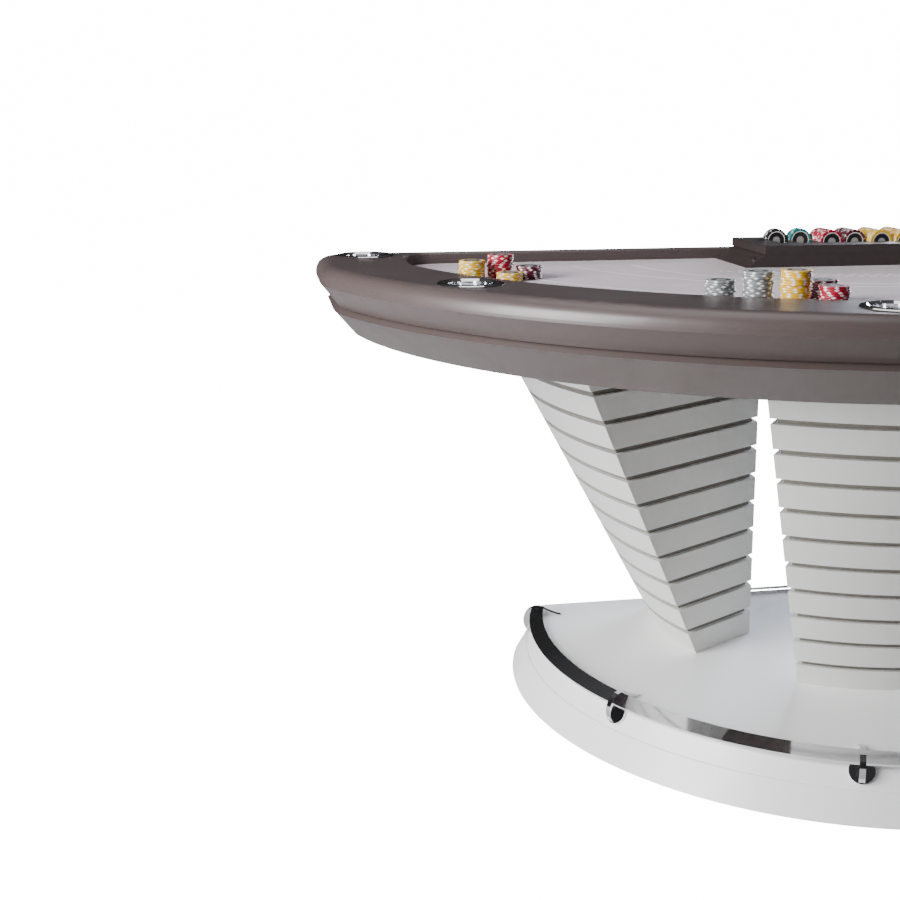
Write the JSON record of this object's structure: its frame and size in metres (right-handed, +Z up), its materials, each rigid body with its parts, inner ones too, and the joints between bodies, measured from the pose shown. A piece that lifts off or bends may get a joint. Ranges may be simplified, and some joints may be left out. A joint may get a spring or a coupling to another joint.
{
  "type": "casino card table",
  "caption": "Half-round casino card table with a broad arm rail, cloth field, drop-in cup holders, dealer's chip float, slatted wedge legs and a D-shaped plinth with a polished foot rail.",
  "frame": {"origin": "on the floor under the middle of the bounding box", "axes": "+Z up, +Y towards the dealer's straight edge, players at -Y, +X along the dealer's edge"},
  "size_m": [1.872, 0.9761, 0.7911],
  "materials": {
    "rail_lacquer": "satin taupe lacquer over shaped timber",
    "fascia_lacquer": "satin taupe lacquer",
    "cloth": "short-nap mauve playing cloth with thin pale printed lines",
    "foam": "closed-cell foam underlay",
    "plywood": "birch plywood, unfinished",
    "screw_steel": "zinc-plated fasteners",
    "steel_plate": "mill-finish steel plate",
    "cup_chrome": "bright chrome on spun steel",
    "float_frame_lacquer": "dark brown satin lacquer",
    "float_insert_plastic": "moulded dark brown plastic",
    "leg_lacquer": "white satin lacquer",
    "leg_recess": "dull grey stain in the grooves",
    "plinth_lacquer": "white satin lacquer",
    "foot_steel": "turned steel",
    "polished_steel": "mirror-polished flat steel bar",
    "chip_black": "moulded chip with white edge spots",
    "chip_teal": "moulded chip with white edge spots",
    "chip_red": "moulded chip with white edge spots",
    "chip_plum": "moulded chip with white edge spots",
    "chip_yellow": "moulded chip with white edge spots",
    "chip_gold": "moulded chip with white edge spots",
    "chip_orange": "moulded chip with white edge spots",
    "chip_grey": "moulded chip with white edge spots"
  },
  "bodies": {
    "table": {"arm_rail": "rail_lacquer", "lower_fascia": "fascia_lacquer", "playing_cloth": "cloth", "foam_underlay": "foam", "playing_board": "plywood", "underside_panel": "plywood", "top_frame": "plywood", "plinth_cross": "plywood", "rail_screws": "screw_steel", "leg_head_bolts": "screw_steel", "leg_foot_bolts": "screw_steel", "float_lock": "screw_steel", "leg_head_plates": "steel_plate", "leg_foot_plates": "steel_plate", "float_frame": "float_frame_lacquer", "float_bearers": "float_frame_lacquer", "front_leg_boards": "leg_lacquer", "left_leg_boards": "leg_lacquer", "right_leg_boards": "leg_lacquer", "front_leg_carcass": "leg_recess", "left_leg_carcass": "leg_recess", "right_leg_carcass": "leg_recess", "plinth_lid": "plinth_lacquer", "plinth_skirt": "plinth_lacquer", "foot_sockets": "foot_steel", "foot_rail_left": "polished_steel", "foot_rail_centre": "polished_steel", "foot_rail_right": "polished_steel", "foot_rail_dealer": "polished_steel", "foot_rail_brackets": "polished_steel", "dealer_rail_brackets": "polished_steel"},
    "cup_1": {"cup_holder_1": "cup_chrome"},
    "cup_2": {"cup_holder_2": "cup_chrome"},
    "cup_3": {"cup_holder_3": "cup_chrome"},
    "cup_4": {"cup_holder_4": "cup_chrome"},
    "cup_5": {"cup_holder_5": "cup_chrome"},
    "cup_6": {"cup_holder_6": "cup_chrome"},
    "loaded_insert": {"float_insert": "float_insert_plastic", "tube_chips_black": "chip_black", "tube_chips_teal": "chip_teal", "tube_chips_red": "chip_red", "tube_chips_plum": "chip_plum", "tube_chips_yellow": "chip_yellow", "tube_chips_gold": "chip_gold", "tube_chips_orange": "chip_orange"},
    "yellow_left_stack": {"stack_yellow_left": "chip_yellow"},
    "red_left_stack": {"stack_red_left": "chip_red"},
    "yellow_short_stack": {"stack_yellow_short": "chip_yellow"},
    "plum_left_stack": {"stack_plum_left": "chip_plum"},
    "grey_short_stack": {"stack_grey_short": "chip_grey"},
    "grey_tall_stack": {"stack_grey_tall": "chip_grey"},
    "yellow_tall_stack": {"stack_yellow_tall": "chip_yellow"},
    "plum_right_stack": {"stack_plum_right": "chip_plum"},
    "red_short_stack": {"stack_red_short": "chip_red"},
    "foot_1": {"levelling_foot_1": "foot_steel"},
    "foot_2": {"levelling_foot_2": "foot_steel"},
    "foot_3": {"levelling_foot_3": "foot_steel"},
    "foot_4": {"levelling_foot_4": "foot_steel"},
    "foot_5": {"levelling_foot_5": "foot_steel"}
  },
  "joints": [
    {"name": "cup_1_lift", "type": "slide", "parent": "table", "child": "cup_1", "axis": [0, 0, 1], "range_m": [0, 0.08]},
    {"name": "cup_2_lift", "type": "slide", "parent": "table", "child": "cup_2", "axis": [0, 0, 1], "range_m": [0, 0.08]},
    {"name": "cup_3_lift", "type": "slide", "parent": "table", "child": "cup_3", "axis": [0, 0, 1], "range_m": [0, 0.08]},
    {"name": "cup_4_lift", "type": "slide", "parent": "table", "child": "cup_4", "axis": [0, 0, 1], "range_m": [0, 0.08]},
    {"name": "cup_5_lift", "type": "slide", "parent": "table", "child": "cup_5", "axis": [0, 0, 1], "range_m": [0, 0.08]},
    {"name": "cup_6_lift", "type": "slide", "parent": "table", "child": "cup_6", "axis": [0, 0, 1], "range_m": [0, 0.08]},
    {"name": "insert_lift", "type": "slide", "parent": "table", "child": "loaded_insert", "axis": [0, 0, 1], "range_m": [0, 0.06]},
    {"name": "stack_yellow_left_lift", "type": "slide", "parent": "table", "child": "yellow_left_stack", "axis": [0, 0, 1], "range_m": [0, 0.08]},
    {"name": "stack_red_left_lift", "type": "slide", "parent": "table", "child": "red_left_stack", "axis": [0, 0, 1], "range_m": [0, 0.08]},
    {"name": "stack_yellow_short_lift", "type": "slide", "parent": "table", "child": "yellow_short_stack", "axis": [0, 0, 1], "range_m": [0, 0.08]},
    {"name": "stack_plum_left_lift", "type": "slide", "parent": "table", "child": "plum_left_stack", "axis": [0, 0, 1], "range_m": [0, 0.08]},
    {"name": "stack_grey_short_lift", "type": "slide", "parent": "table", "child": "grey_short_stack", "axis": [0, 0, 1], "range_m": [0, 0.08]},
    {"name": "stack_grey_tall_lift", "type": "slide", "parent": "table", "child": "grey_tall_stack", "axis": [0, 0, 1], "range_m": [0, 0.08]},
    {"name": "stack_yellow_tall_lift", "type": "slide", "parent": "table", "child": "yellow_tall_stack", "axis": [0, 0, 1], "range_m": [0, 0.08]},
    {"name": "stack_plum_right_lift", "type": "slide", "parent": "table", "child": "plum_right_stack", "axis": [0, 0, 1], "range_m": [0, 0.08]},
    {"name": "stack_red_short_lift", "type": "slide", "parent": "table", "child": "red_short_stack", "axis": [0, 0, 1], "range_m": [0, 0.08]},
    {"name": "foot_1_screw", "type": "slide", "parent": "table", "child": "foot_1", "axis": [0, 0, 1], "range_m": [-0.012, 0]},
    {"name": "foot_2_screw", "type": "slide", "parent": "table", "child": "foot_2", "axis": [0, 0, 1], "range_m": [-0.012, 0]},
    {"name": "foot_3_screw", "type": "slide", "parent": "table", "child": "foot_3", "axis": [0, 0, 1], "range_m": [-0.012, 0]},
    {"name": "foot_4_screw", "type": "slide", "parent": "table", "child": "foot_4", "axis": [0, 0, 1], "range_m": [-0.012, 0]},
    {"name": "foot_5_screw", "type": "slide", "parent": "table", "child": "foot_5", "axis": [0, 0, 1], "range_m": [-0.012, 0]}
  ]
}
